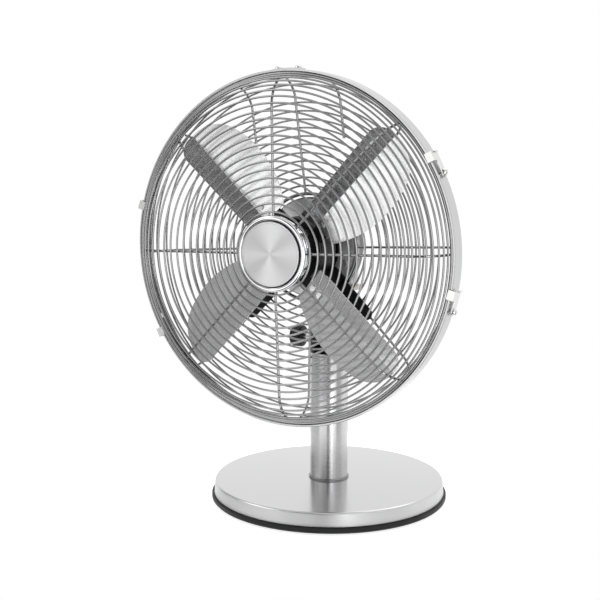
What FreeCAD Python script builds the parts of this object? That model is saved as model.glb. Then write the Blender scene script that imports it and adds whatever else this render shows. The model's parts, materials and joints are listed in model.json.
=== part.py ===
"""Desk fan with a weighted round base, a steel column, a tilting and swinging head and a wire guard.

Frame: millimetres, +Z up, the fan blows towards -Y, origin on the table under the column's axis.
"""
import FreeCAD, Part
import math
import os
from FreeCAD import Vector

# Base and column
pan_radius = 126.9
cover_radius = 124.2
mat_radius = 121.0
mat_thickness = 1.5
pan_top = 7.5
pan_floor = 2.5
base_top = 22.0
sheet_steel = 1.2
weight_radius = 108.0
weight_bottom = 9.5
weight_top = 18.5
base_screw_circle = 85.0
column_radius = 20.4
column_wall = 1.5
column_top = 160.0
tie_rod_radius = 5.0

# Tilt joint at the top of the column
tilt_height = 174.0
socket_radius = 22.3
socket_body_radius = 20.7
lug_bottom = 152.0
lug_half_width = 8.0
column_screw_height = 156.5
slot_half_width = 8.0
slot_bottom = 159.0
cheek_radius = 17.0
tongue_radius = 14.0
tongue_half_width = 7.6
tilt_bolt_radius = 3.0
running_gap = 0.05
knob_radius = 11.6
knob_inner_x = -31.0
knob_outer_x = -43.0

# Swivel joint under the motor
neck_bottom = 194.0
neck_top = 206.0
neck_radius = 20.0
swivel_pin_radius = 5.0
barrel_radius = 9.5
barrel_bottom = 206.6
saddle_bottom = 231.0
saddle_top = 247.0
post_circle = 16.0
post_lead = 75.0
post_radius = 2.5
post_top = 220.5
link_bottom = 216.0
link_thickness = 3.0

# Fan axis and motor
axis_height = 275.0
shell_radius = 51.0
shell_wall = 1.2
shell_front = -44.0
shell_shoulder = -26.0
shell_rear = 36.0
shell_rear_radius = 23.0
bell_front = -46.0
bell_joint = -33.0
bell_rear = -22.0
bell_radius = 49.6
bell_wall_outer = 46.8
stator_radius = 45.0
stator_bore = 25.4
stator_front = -40.0
stator_rear = -28.0
rotor_radius = 25.0
rotor_front = -39.6
shaft_radius = 4.0
shaft_front = -93.0
shaft_rear = 35.5
motor_screw_circle = 42.0
motor_screw_angles = [20, 160, 200, 340]

# Swing gearing
gear_x = 14.0
gear_y = 22.0
gear_teeth = 28
gear_outer = 9.7
gear_root = 8.6
gear_half_height = 3.0
worm_outer = 4.0
worm_root = 3.0
crank_throw = 10.0
crank_top = 230.0
crank_bottom = 226.0
crank_pin_bottom = 221.0
link_reach = 25.9

# Fan blades
blade_count = 4
first_blade_angle = 46.0
fold_offset = -2.5
fold_y = -88.7
strip_pitch = 20.0
panel_pitch = 8.0
blade_thickness = 1.2
blade_root = 38.0
blade_tip = 158.5
hub_disc_radius = 33.0
hub_disc_front = -87.2
hub_disc_rear = -84.2
hub_flange_radius = 29.0
hub_cup_front = -82.6
hub_cup_rear = -53.0
hub_rivet_circle = 25.0
rivet_radius = 1.6
rivet_hole_radius = 1.62

# Guards
rim_radius = 175.0
rim_wall = 1.2
rim_lip = 0.7
rim_front = -97.2
rim_rear = -78.4
rim_middle = -86.75
rim_rivet_radius = 1.5
dome_radius = 3.5
edge_wire = 1.8
ring_wire = 1.0
spoke_wire = 1.25
weld_gap = 0.05
front_rise_centre = 24.5
front_rise_edge = 22.0
front_bend_centre = 138.5
front_bend_radius = 33.0
front_first_ring = 40.0
front_ring_pitch = 8.0
front_flat_rings = 12
front_bend_rings = 8
front_bend_bunching = 0.25
front_bend_angle = 75.0
front_guard_turn = 1.5
rear_inner_ring = 54.6
rear_inner_wire = 1.8
rear_inner_y = -46.0
rear_corner_ring = 152.0
rear_corner_y = -60.0
rear_bend_middle = (163.5, -67.6)
rear_edge_circle = 171.9
rear_edge_y = -81.0
rear_first_ring = 62.8
rear_ring_pitch = 8.2
rear_flat_rings = 11
rear_bend_shares = (0.4, 0.75)
rear_guard_turn = 3.0
spoke_count = 8
side_wire_start = 118.0
side_wire_offset = 49.5
side_wire_lift = 0.3
top_spoke = 2
strap_arm_end = 99.0
strap_arm_width = 13.0
strap_arm_gap = 0.3
strap_arm_sheet = 1.6
strap_plate_radius = 34.0
strap_plate_bore = 12.0
arm_screw_circle = 46.6
badge_radius = 31.3
bezel_radius = 36.9
badge_face = -128.7
clip_angles = [26.4, 161.0, 206.0, 344.0]
clip_length = 21.0
clip_hook_start = 12.0
strap_angle = 90.6
lock_angle = 276.4

Z_AXIS = Vector(0, 0, 1)
X_AXIS = Vector(1, 0, 0)
Y_AXIS = Vector(0, 1, 0)
FAN_CENTRE = Vector(0, 0, axis_height)


def rod_x(radius, start, end, y, z):
    return Part.makeCylinder(radius, end - start, Vector(start, y, z), X_AXIS)


def rod_z(radius, bottom, top, x=0.0, y=0.0):
    return Part.makeCylinder(radius, top - bottom, Vector(x, y, bottom), Z_AXIS)


def rod_y(radius, front, rear, x=0.0, z=axis_height):
    return Part.makeCylinder(radius, rear - front, Vector(x, front, z), Y_AXIS)


def tube_y(outer, inner, front, rear):
    return rod_y(outer, front, rear).cut(rod_y(inner, front - 1, rear + 1))


def box(x0, x1, y0, y1, z0, z1):
    return Part.makeBox(x1 - x0, y1 - y0, z1 - z0, Vector(x0, y0, z0))


def hexagon(across_flats, base, length):
    """Six-sided prism that stands on the plane across its length vector."""
    radius = across_flats / math.sqrt(3)
    side = X_AXIS if abs(length.x) < 1e-9 else Y_AXIS
    other = length.cross(side).normalize()
    points = []
    for index in range(7):
        angle = math.pi * index / 3
        points.append(base + side * (radius * math.cos(angle)) + other * (radius * math.sin(angle)))
    return Part.Face(Part.makePolygon(points)).extrude(length)


def turned(shape, angle):
    """Copy turned about the fan's axis, counter-clockwise as seen from the front."""
    copy = shape.copy()
    copy.rotate(FAN_CENTRE, Vector(0, -1, 0), angle)
    return copy


def about_column(shape, angle):
    copy = shape.copy()
    copy.rotate(Vector(0, 0, 0), Z_AXIS, angle)
    return copy


def ring(radius, wire, y):
    return Part.makeTorus(radius, wire, Vector(0, y, axis_height), Y_AXIS)


def lathe_y(points):
    """Solid of revolution about the fan's axis from (radius, y) corners."""
    corners = [Vector(radius, y, axis_height) for radius, y in points]
    face = Part.Face(Part.makePolygon(corners + [corners[0]]))
    return face.revolve(FAN_CENTRE, Y_AXIS, 360)


def lathe_z(points):
    """Solid of revolution about the column's axis from (radius, z) corners."""
    corners = [Vector(radius, 0, z) for radius, z in points]
    face = Part.Face(Part.makePolygon(corners + [corners[0]]))
    return face.revolve(Vector(0, 0, 0), Z_AXIS, 360)


def fused(shapes):
    return shapes[0].multiFuse(shapes[1:]).removeSplitter()


def save(name, shape):
    solids = shape.Solids
    for solid in solids:
        if not solid.isValid() or solid.Volume <= 0:
            raise ValueError(name + " has a bad solid")
    body = solids[0] if len(solids) == 1 else Part.makeCompound(solids)
    body.exportStep("parts/" + name + ".step")
    print(name, len(solids), round(sum(solid.Volume for solid in solids) / 1000, 2), "cm3")


# ---- Base -------------------------------------------------------------------------------------

def base_screw_places():
    places = []
    for index in range(4):
        angle = math.radians(45 + 90 * index)
        places.append((base_screw_circle * math.cos(angle), base_screw_circle * math.sin(angle)))
    return places


def make_mat():
    return rod_z(mat_radius, 0, mat_thickness)


def make_underpan():
    floor_top = mat_thickness + pan_floor
    pan = lathe_z([(0, mat_thickness), (pan_radius - 1.5, mat_thickness), (pan_radius, 3.2),
                   (pan_radius, 6.7), (pan_radius - 0.8, pan_top), (mat_radius, pan_top),
                   (mat_radius, floor_top), (0, floor_top)])
    for x, y in base_screw_places():
        pan = pan.fuse(rod_z(7, floor_top - 0.5, weight_bottom, x, y))
        pan = pan.cut(rod_z(2.2, 0, weight_bottom + 1, x, y))
        pan = pan.cut(rod_z(4.2, 0, mat_thickness + 2.2, x, y))
    return pan


def make_weight():
    weight = rod_z(weight_radius, weight_bottom, weight_top)
    weight = weight.makeChamfer(1.5, [edge for edge in weight.Edges if edge.Length > 400])
    weight = weight.cut(rod_z(tie_rod_radius + 0.3, 0, base_top))
    for x, y in base_screw_places():
        weight = weight.cut(rod_z(2.05, 0, base_top, x, y))
    return weight


def make_base_cover():
    outer = rod_z(cover_radius, pan_top, base_top)
    rim = [edge for edge in outer.Edges if edge.Length > 400 and edge.BoundBox.ZMin > base_top - 1]
    outer = outer.makeFillet(2.6, rim)
    inner = rod_z(cover_radius - sheet_steel, pan_top - 1, base_top - sheet_steel)
    return outer.cut(inner).cut(rod_z(tie_rod_radius + 0.3, 0, base_top + 1))


def make_base_screws():
    screws = []
    for x, y in base_screw_places():
        head = rod_z(4.0, mat_thickness + 0.05, mat_thickness + 2.1, x, y)
        screws.append(head.fuse(rod_z(2.0, mat_thickness + 1, weight_top - 2, x, y)))
    return Part.makeCompound(screws)


# ---- Column -----------------------------------------------------------------------------------

def make_collar():
    return lathe_z([(column_radius + 0.05, base_top), (column_radius + 1.3, base_top),
                    (column_radius + 1.3, base_top + 1.4), (column_radius + 0.7, base_top + 2.0),
                    (column_radius + 0.05, base_top + 2.0)])


def make_foot_plug():
    plug = rod_z(column_radius - column_wall - 0.1, base_top, base_top + 10)
    return plug.cut(rod_z(tie_rod_radius + 0.3, 0, 60))


def make_column():
    tube = rod_z(column_radius, base_top, column_top)
    tube = tube.cut(rod_z(column_radius - column_wall, base_top - 1, column_top + 1))
    for shape in column_screw_shanks(1.65):
        tube = tube.cut(shape)
    return tube


def make_tie_rod():
    """Rod that pulls the column on to the base, with the nut and washer under the weight."""
    nut = hexagon(17.0, Vector(0, 0, 4.4), Vector(0, 0, 4.0))
    washer = rod_z(10.5, 8.4, weight_bottom)
    bore = rod_z(tie_rod_radius + 0.02, 0, 20)
    return Part.makeCompound([rod_z(tie_rod_radius, 4.2, 152.0), nut.cut(bore), washer.cut(bore)])


def column_screw_shanks(radius):
    shank = Part.makeCylinder(radius, 12, Vector(0, -socket_radius - 1, column_screw_height), Y_AXIS)
    return [about_column(shank, side) for side in (90, 270)]


def make_column_screws():
    """A slotted screw through each lug and the tube's wall into the spigot."""
    screws = []
    for side in (90, 270):
        head = Part.makeCylinder(2.6, 1.3, Vector(0, -socket_radius - 1.35, column_screw_height), Y_AXIS)
        shank = Part.makeCylinder(1.6, 8, Vector(0, -socket_radius - 0.2, column_screw_height), Y_AXIS)
        slot = box(-0.3, 0.3, -socket_radius - 2, -socket_radius - 0.9, column_screw_height - 4,
                   column_screw_height + 4)
        screws.append(about_column(head.fuse(shank).cut(slot), side))
    return Part.makeCompound(screws)


# ---- Tilt joint -------------------------------------------------------------------------------

def cheek_round(radius):
    """Upper part of the cheeks, rounded about the tilt axis."""
    upper = rod_z(radius, tilt_height - 1, tilt_height + cheek_radius)
    return upper.common(rod_x(cheek_radius, -30, 30, 0, tilt_height))


def make_tilt_socket():
    """Black casting on the column: a spigot in the tube, two cheeks and a lug down each side of the tube."""
    spigot = rod_z(column_radius - column_wall - 0.1, 138, column_top + 1)
    body = fused([rod_z(socket_body_radius, column_top, tilt_height), cheek_round(socket_body_radius)])
    rib = fused([rod_z(socket_radius, lug_bottom, tilt_height), cheek_round(socket_radius)])
    lug_end = lug_bottom + lug_half_width
    rib_reach = box(-30, 30, -lug_half_width, lug_half_width, lug_end, 200)
    rib = rib.common(rib_reach.fuse(rod_x(lug_half_width, -30, 30, 0, lug_end)))
    rib = rib.cut(rod_z(column_radius + 0.05, lug_bottom - 1, column_top))
    socket = fused([body, rib, spigot])
    socket = socket.cut(box(-slot_half_width, slot_half_width, -40, 40, slot_bottom, 200))
    socket = socket.cut(rod_z(tie_rod_radius + 0.02, 130, 152.5))
    socket = socket.cut(rod_x(tilt_bolt_radius + 0.02, -40, 40, 0, tilt_height))
    for shank in column_screw_shanks(1.61):
        socket = socket.cut(shank)
    return socket


def make_tilt_bolt():
    shank = rod_x(tilt_bolt_radius, -40.0, socket_radius + 0.6, 0, tilt_height)
    head = hexagon(10.0, Vector(socket_radius + 0.5, 0, tilt_height), Vector(4.1, 0, 0))
    return fused([shank, head])


def make_tilt_knob():
    """Round knob with finger flutes, screwed on the left end of the bolt."""
    knob = rod_x(knob_radius, knob_outer_x, knob_inner_x, 0, tilt_height)
    knob = knob.makeFillet(1.6, [edge for edge in knob.Edges if edge.Length > 50 and edge.isClosed()])
    for index in range(12):
        angle = 2 * math.pi * index / 12
        reach = knob_radius + 1.1
        knob = knob.cut(rod_x(2.0, knob_outer_x - 1, knob_inner_x - 2.2, reach * math.cos(angle),
                              tilt_height + reach * math.sin(angle)))
    return knob.cut(rod_x(tilt_bolt_radius + running_gap, -40.5, -20, 0, tilt_height))


def post_place():
    """Where the swing link is pinned to the neck, ahead of the crank by a set angle."""
    angle = math.atan2(gear_y, gear_x) + math.radians(post_lead)
    return post_circle * math.cos(angle), post_circle * math.sin(angle)


def crank_pin_place():
    """Where the crank's pin stands so that the link just reaches it."""
    post_x, post_y = post_place()
    span = math.hypot(post_x - gear_x, post_y - gear_y)
    cosine = (span ** 2 + crank_throw ** 2 - link_reach ** 2) / (2 * span * crank_throw)
    angle = math.atan2(post_y - gear_y, post_x - gear_x) - math.acos(cosine)
    return gear_x + crank_throw * math.cos(angle), gear_y + crank_throw * math.sin(angle)


def make_tilt_neck():
    """Tongue between the cheeks, the round seat of the swivel and the post of the swing link."""
    tongue = rod_x(tongue_radius, -tongue_half_width, tongue_half_width, 0, tilt_height)
    web = box(-tongue_half_width, tongue_half_width, -12, 12, tilt_height, neck_bottom + 1)
    seat = rod_z(neck_radius, neck_bottom, neck_top)
    seat = seat.makeChamfer(1.2, [edge for edge in seat.Edges if edge.isClosed()])
    post_x, post_y = post_place()
    post = rod_z(post_radius, neck_top - 1, link_bottom - 0.3, post_x, post_y)
    pivot = rod_z(post_radius - 0.7, neck_top - 1, post_top, post_x, post_y)
    neck = fused([tongue, web, seat, post, pivot])
    neck = neck.cut(rod_x(tilt_bolt_radius + running_gap, -20, 20, 0, tilt_height))
    return neck.cut(rod_z(swivel_pin_radius + 0.02, 190, neck_top + 1))


def make_swivel_pin():
    return rod_z(swivel_pin_radius, 190.5, 243.0)


def make_crank_link():
    """Flat bar from the neck's post towards the crank's pin, its far eye just below the pin."""
    post_x, post_y = post_place()
    pin_x, pin_y = crank_pin_place()
    top = link_bottom + link_thickness
    bar = box(0, link_reach, -2.2, 2.2, link_bottom, top)
    link = fused([bar, rod_z(4.0, link_bottom, top), rod_z(4.0, link_bottom, top, link_reach)])
    link = link.cut(rod_z(post_radius - 0.7 + running_gap, 200, 230))
    link = link.cut(rod_z(2.1, 200, 230, link_reach))
    link.rotate(Vector(0, 0, 0), Z_AXIS, math.degrees(math.atan2(pin_y - post_y, pin_x - post_x)))
    link.translate(Vector(post_x, post_y, 0))
    return link


# ---- Swivel and gearing -----------------------------------------------------------------------

def saddle_block(grow):
    """Casting between the swivel barrel and the motor, widened by grow for its cut-out."""
    body = box(-15 - grow, 15 + grow, bell_rear + 0.05, 14 + grow, saddle_bottom, saddle_top + grow)
    boss = rod_z(8.5 + grow, saddle_bottom, saddle_top + grow, gear_x, gear_y)
    web = box(3 - grow, 15 + grow, 5, gear_y, saddle_bottom, saddle_top + grow)
    return fused([body, boss, web])


def make_swivel_housing():
    housing = fused([rod_z(barrel_radius, barrel_bottom, saddle_bottom + 1), saddle_block(0)])
    housing = housing.cut(rod_z(7.02, barrel_bottom - 1, 240))
    housing = housing.cut(rod_z(swivel_pin_radius + 0.4, 239, 250))
    return housing.cut(rod_z(2.56, saddle_bottom - 1, saddle_top + 1, gear_x, gear_y))


def make_swivel_bush():
    bush = rod_z(7.0, barrel_bottom, 239.8)
    return bush.cut(rod_z(swivel_pin_radius + running_gap, barrel_bottom - 1, 241))


def make_gearbox_case():
    """Cup round the worm wheel with a tunnel for the worm."""
    cup = rod_z(11.6, 268, 281, gear_x, gear_y)
    tunnel = rod_y(7.4, gear_y - 12, gear_y + 12)
    pillar = rod_z(5.0, saddle_top + 0.05, 269, gear_x, gear_y)
    case = fused([cup, tunnel, pillar])
    case = case.cut(rod_z(10.4, 270.5, 282, gear_x, gear_y))
    case = case.cut(rod_y(5.4, gear_y - 20, gear_y + 20))
    return case.cut(rod_z(2.56, 240, 282, gear_x, gear_y))


def make_worm_wheel():
    """Toothed wheel, its upright shaft, the crank disc below and the crank's pin."""
    points = []
    for tooth in range(gear_teeth):
        for step, radius in ((0.0, gear_root), (0.25, gear_outer), (0.5, gear_outer), (0.75, gear_root)):
            angle = 2 * math.pi * (tooth + step) / gear_teeth
            points.append(Vector(gear_x + radius * math.cos(angle), gear_y + radius * math.sin(angle),
                                 axis_height - gear_half_height))
    wheel = Part.Face(Part.makePolygon(points + [points[0]])).extrude(Vector(0, 0, 2 * gear_half_height))
    shaft = rod_z(2.5, crank_bottom, axis_height + gear_half_height + 2, gear_x, gear_y)
    disc = rod_z(13.0, crank_bottom, crank_top, gear_x, gear_y)
    pin = rod_z(2.0, crank_pin_bottom, crank_bottom + 1, *crank_pin_place())
    return fused([wheel, shaft, disc, pin])


# ---- Motor ------------------------------------------------------------------------------------

def motor_screw_holes(radius):
    return [turned(rod_y(radius, -60, 0, motor_screw_circle), angle) for angle in motor_screw_angles]


def make_front_bell():
    bell = lathe_y([(6.02, bell_front - 5), (9.5, bell_front - 5), (10.5, bell_front),
                    (bell_radius, bell_front), (bell_radius, bell_front + 2.4),
                    (bell_wall_outer, bell_front + 2.4),
                    (bell_wall_outer, bell_joint - 0.1), (stator_radius + 0.1, bell_joint - 0.1),
                    (stator_radius + 0.1, bell_front + 2.4), (10.5, bell_front + 2.4),
                    (10.5, bell_front + 6), (6.02, bell_front + 6)])
    for hole in motor_screw_holes(1.9):
        bell = bell.cut(hole)
    for index in range(4):
        bell = bell.cut(turned(rod_y(1.6, -60, -30, arm_screw_circle), 45 + rear_guard_turn + 90 * index))
    return bell


def make_rear_bell():
    bell = lathe_y([(stator_radius + 0.1, bell_joint), (bell_wall_outer, bell_joint),
                    (bell_wall_outer, bell_rear), (10.5, bell_rear), (9.5, bell_rear + 12),
                    (6.02, bell_rear + 12), (6.02, bell_rear - 2.4), (stator_radius + 0.1, bell_rear - 2.4)])
    for hole in motor_screw_holes(1.9):
        bell = bell.cut(hole)
    for index in range(4):
        bell = bell.cut(turned(rod_y(6.0, -30, 0, 28.0), 45 + 90 * index))
    return bell


def make_stator():
    stator = tube_y(stator_radius, stator_bore, stator_front, stator_rear)
    for index in range(8):
        stator = stator.cut(turned(rod_y(4.2, stator_front - 1, stator_rear + 1, 31.5), 22.5 + 45 * index))
    for hole in motor_screw_holes(1.9):
        stator = stator.cut(hole)
    return stator


def make_windings():
    """Four coils, each seen as a bundle at both ends of the stator."""
    coils = []
    for front, rear in ((bell_front + 2.9, stator_front - 0.1), (stator_rear + 0.1, bell_rear - 2.9)):
        full = tube_y(38.0, 27.0, front, rear)
        for index in range(4):
            sector = box(0, 60, front, rear, axis_height, axis_height + 60)
            piece = turned(full.common(sector), 90 * index)
            trim = turned(box(-1.5, 1.5, front - 1, rear + 1, axis_height, axis_height + 60), 90 * index)
            coils.append(piece.cut(trim).cut(turned(trim, 90)).cut(turned(trim, -90)))
    return Part.makeCompound(coils)


def make_shaft():
    """Motor shaft with its worm, the thread drawn as rings one tooth pitch apart."""
    pitch = 2 * math.pi * (gear_outer - 0.4) / gear_teeth
    worm_start = gear_y - 9
    profile = [(0, shaft_front), (shaft_radius - 0.6, shaft_front), (shaft_radius, shaft_front + 0.6),
               (shaft_radius, worm_start)]
    for turn in range(8):
        y = worm_start + turn * pitch
        profile += [(worm_root, y + 0.3 * pitch), (worm_outer, y + 0.5 * pitch),
                    (worm_outer, y + 0.7 * pitch), (worm_root, y + 0.9 * pitch)]
    return lathe_y(profile + [(worm_root, shaft_rear), (0, shaft_rear)])


def make_rotor():
    rotor = tube_y(rotor_radius, shaft_radius + 0.02, rotor_front, stator_rear)
    for index in range(12):
        rotor = rotor.cut(turned(rod_y(1.2, -60, 0, rotor_radius - 3), 30 * index))
    return rotor


def make_bushes():
    front = tube_y(6.0, shaft_radius + running_gap, bell_front - 5, bell_front + 6)
    rear = tube_y(6.0, shaft_radius + running_gap, bell_rear - 2.4, bell_rear + 12)
    return Part.makeCompound([front, rear])


def make_motor_screws():
    screws = []
    for angle in motor_screw_angles:
        head = rod_y(3.4, bell_front - 1.8, bell_front - 0.05, motor_screw_circle)
        shank = rod_y(1.75, bell_front - 1, bell_rear + 2.5, motor_screw_circle)
        nut = rod_y(3.2, bell_rear + 0.1, bell_rear + 2.4, motor_screw_circle)
        screws.append(turned(fused([head, shank, nut]), angle))
    return Part.makeCompound(screws)


def shell_profile(inset):
    """Half outline of the motor shell, moved inwards by inset."""
    return [(0, shell_front), (shell_radius - inset, shell_front), (shell_radius - inset, shell_shoulder),
            (shell_rear_radius - inset, shell_rear), (0, shell_rear)]


def make_shell():
    """Sheet cover of the motor: a short drum and a cone, open at both ends."""
    shell = lathe_y(shell_profile(0))
    shell = shell.makeFillet(9.0, [edge for edge in shell.Edges
                                   if edge.Length > 200 and abs(edge.BoundBox.YMax - shell_shoulder) < 0.1])
    inside = lathe_y(shell_profile(shell_wall))
    inside = inside.makeFillet(8.0, [edge for edge in inside.Edges
                                     if edge.Length > 200 and abs(edge.BoundBox.YMax - shell_shoulder) < 0.1])
    ends = rod_y(shell_radius - shell_wall, shell_front - 2, shell_front + 2)
    ends = ends.fuse(rod_y(shell_rear_radius - shell_wall, shell_rear - 2, shell_rear + 2))
    shell = shell.cut(inside).cut(ends)
    shell = shell.cut(saddle_block(0.4)).cut(box(-15.4, 15.4, bell_rear, 14.4, 220, 240))
    shell = shell.cut(rod_z(5.4, 225, 262, gear_x, gear_y))
    shell = shell.cut(rod_z(2.9, 280, 320, gear_x, gear_y))
    for index in range(9):
        vent = box(-1.2, 1.2, -20, 2, axis_height + 20, axis_height + 70)
        shell = shell.cut(turned(vent, -60 + 15 * index))
    return shell.cut(gland_place(rod_z(4.05, 0, 30)))


def make_rear_cap():
    cap = lathe_y([(shell_rear_radius, shell_rear + 0.05), (17.5, shell_rear + 9), (15, shell_rear + 10.5),
                   (3.6, shell_rear + 10.5), (3.6, shell_rear + 9), (14.3, shell_rear + 9),
                   (16, shell_rear + 8), (21, shell_rear + 0.05)])
    spigot = tube_y(shell_rear_radius - shell_wall - 1.3, 19.0, shell_rear - 3, shell_rear + 3)
    return fused([cap, spigot])


def make_speed_switch():
    body = rod_y(12.0, shell_rear + 1.5, shell_rear + 8.8)
    tags = [turned(box(8, 10, shell_rear - 2, shell_rear + 2, axis_height - 2, axis_height + 2), 90 * index)
            for index in range(4)]
    return fused([body] + tags)


def make_speed_knob():
    """Rotary knob with a raised pointer; its spindle turns in the switch's cap."""
    face = shell_rear + 22.0
    knob = rod_y(9.0, shell_rear + 11.2, face)
    knob = knob.makeFillet(1.2, [edge for edge in knob.Edges
                                 if edge.isClosed() and edge.BoundBox.YMin > face - 1])
    pointer = box(-1.2, 1.2, face - 1, face + 0.8, axis_height, axis_height + 8)
    spindle = rod_y(3.0, shell_rear + 9.1, shell_rear + 12)
    return fused([knob, pointer, spindle])


def make_swing_knob():
    """Push-pull knob over the worm wheel: down it swings the head, up it stops."""
    cap = rod_z(6.5, 306, 316, gear_x, gear_y)
    cap = cap.makeFillet(1.5, [edge for edge in cap.Edges if edge.isClosed()])
    return fused([cap, rod_z(2.5, 281, 308, gear_x, gear_y)])


def gland_place(shape):
    """Set a shape made upwards from the origin on the shell's lower rear slope."""
    copy = shape.copy()
    copy.translate(Vector(0, 0, -8))
    copy.rotate(Vector(0, 0, 0), X_AXIS, 180 + 26)
    copy.translate(Vector(-13, 26, axis_height - 19))
    return copy


def make_gland():
    body = fused([rod_z(4.0, 8, 17), rod_z(5.6, 16.6, 24)])
    body = body.cut(rod_z(2.9, 0, 40))
    return gland_place(body)


# ---- Fan blades -------------------------------------------------------------------------------

def blade_sheet(front, rear, inner, outer):
    """Folded sheet along +X, between two depths behind the blade's front face."""
    rise = math.tan(math.radians(strip_pitch))
    fall = math.tan(math.radians(panel_pitch))
    edge_in = 60.0
    edge_out = 30.0
    offsets = [(edge_out, fold_y - (edge_out - fold_offset) * rise), (fold_offset, fold_y),
               (-edge_in, fold_y + (edge_in + fold_offset) * fall)]
    points = [Vector(inner, y + front, axis_height + w) for w, y in offsets]
    points += [Vector(inner, y + rear, axis_height + w) for w, y in reversed(offsets)]
    face = Part.Face(Part.makePolygon(points + [points[0]]))
    return face.extrude(Vector(outer - inner, 0, 0))


def at(u, w):
    return Vector(u, -150, axis_height + w)


def make_blade(index):
    edges = [Part.LineSegment(at(blade_root, 14.0), at(142, 17)),
             Part.Arc(at(142, 17), at(154.5, 12.0), at(blade_tip, 0)),
             Part.Arc(at(blade_tip, 0), at(151.5, -25.5), at(130, -40.5)),
             Part.Arc(at(130, -40.5), at(98, -45.5), at(blade_root, -27)),
             Part.LineSegment(at(blade_root, -27), at(blade_root, 14.0))]
    outline = Part.Face(Part.Wire([edge.toShape() for edge in edges]))
    blade = outline.extrude(Vector(0, 120, 0)).common(blade_sheet(0, blade_thickness, 0, 200))
    for u, w in blade_rivet_places():
        blade = blade.cut(rod_y(rivet_hole_radius, -150, 0, u, axis_height + w))
    return turned(blade, first_blade_angle + 90 * index)


def blade_rivet_places():
    return [(43.0, -7.5), (53.0, -7.5)]


def make_spider():
    """Black steel plate with four arms, bent to the slope of the blades."""
    spider = rod_y(hub_disc_radius, hub_disc_front, hub_disc_rear)
    rear = blade_thickness + 2.2
    for index in range(blade_count):
        reach = box(29.5, 62, -150, 0, axis_height - 18, axis_height - 3)
        arm = blade_sheet(blade_thickness + 0.05, rear, 0, 100).common(reach)
        for u, w in blade_rivet_places():
            arm = arm.cut(rod_y(rivet_hole_radius, -150, 0, u, axis_height + w))
        spider = spider.fuse(turned(arm, first_blade_angle + 90 * index))
    spider = spider.removeSplitter().cut(rod_y(shaft_radius + 0.02, -120, 0))
    for index in range(4):
        spider = spider.cut(hub_rivet_hole(index))
    return spider


def hub_rivet_hole(index):
    return turned(rod_y(rivet_hole_radius, -150, 0, hub_rivet_circle), first_blade_angle + 90 * index)


def make_blade_rivets():
    rivets = []
    for index in range(blade_count):
        for u, w in blade_rivet_places():
            front = fold_y - (w - fold_offset) * math.tan(math.radians(panel_pitch))
            shank = rod_y(rivet_radius, front - 0.8, front + 4.2, u, axis_height + w)
            head = rod_y(3.0, front - 1.5, front - 0.45, u, axis_height + w)
            tail = rod_y(2.6, front + 4.0, front + 5.0, u, axis_height + w)
            rivets.append(turned(fused([shank, head, tail]), first_blade_angle + 90 * index))
        rivets.append(turned(hub_rivet(), first_blade_angle + 90 * index))
    return Part.makeCompound(rivets)


def hub_rivet():
    shank = rod_y(rivet_radius, hub_disc_front - 0.5, hub_disc_rear + 3.5, hub_rivet_circle)
    head = rod_y(3.2, hub_disc_front - 1.2, hub_disc_front - 0.05, hub_rivet_circle)
    tail = rod_y(3.0, hub_disc_rear + 3.05, hub_disc_rear + 4.0, hub_rivet_circle)
    return fused([shank, head, tail])


def make_hub():
    """Black moulded hub: a boss on the shaft, a flange for the spider's rivets and a cup behind it."""
    flange = rod_y(hub_flange_radius, hub_disc_rear + 0.05, hub_disc_rear + 3)
    boss = rod_y(11, hub_disc_rear + 1, -66)
    cup = rod_y(hub_disc_radius, hub_cup_front, hub_cup_rear)
    cup = cup.cut(rod_y(hub_disc_radius - 2.5, hub_cup_front + 1.4, hub_cup_rear + 1))
    hub = fused([flange, boss, cup])
    for index in range(4):
        hub = hub.cut(hub_rivet_hole(index))
    return hub.cut(rod_y(shaft_radius + 0.02, -120, 0))


def make_hub_nut():
    nut = hexagon(13.0, Vector(0, hub_disc_front - 4.5, axis_height), Vector(0, 4.4, 0))
    return nut.cut(rod_y(shaft_radius + 0.02, -120, 0))


# ---- Guards -----------------------------------------------------------------------------------

def front_ring_places():
    """(radius, y) of each front ring: evenly spaced on the face, closing up round the bend."""
    places = []
    for index in range(front_flat_rings):
        radius = front_first_ring + front_ring_pitch * index
        share = (radius - front_first_ring) / (front_bend_centre - front_first_ring)
        rise = front_rise_centre + share * (front_rise_edge - front_rise_centre)
        places.append((radius, rim_front - rise))
    last = places[-1][0]
    straight = front_bend_centre - last
    bend = math.radians(front_bend_angle) * front_bend_radius
    for index in range(1, front_bend_rings + 1):
        share = index / (front_bend_rings + 1)
        travel = (straight + bend) * ((1 + front_bend_bunching) * share - front_bend_bunching * share ** 2)
        if travel < straight:
            places.append((last + travel, rim_front - front_rise_edge))
        else:
            places.append(front_bend_point((travel - straight) / front_bend_radius, 0))
    return places


def front_bend_point(angle, inset):
    """Point on the bend, at an angle from its start, moved inwards by inset."""
    reach = front_bend_radius - inset
    centre_y = rim_front - front_rise_edge + front_bend_radius
    return (front_bend_centre + reach * math.sin(angle), centre_y - reach * math.cos(angle))


def make_front_rings():
    rings = [ring(radius, ring_wire, y) for radius, y in front_ring_places()]
    radius, y = front_bend_point(math.radians(front_bend_angle), ring_wire - edge_wire)
    rings.append(ring(radius, edge_wire, y))
    return Part.makeCompound(rings)


def swept_wire(edges, radius):
    path = Part.Wire([edge.toShape() for edge in edges])
    start = path.Edges[0]
    point = start.valueAt(start.FirstParameter)
    direction = start.tangentAt(start.FirstParameter)
    section = Part.Wire([Part.makeCircle(radius, point, direction)])
    return path.makePipeShell([section], True, False)


def in_fan_plane(radius, y):
    return Vector(radius, y, axis_height)


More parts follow.
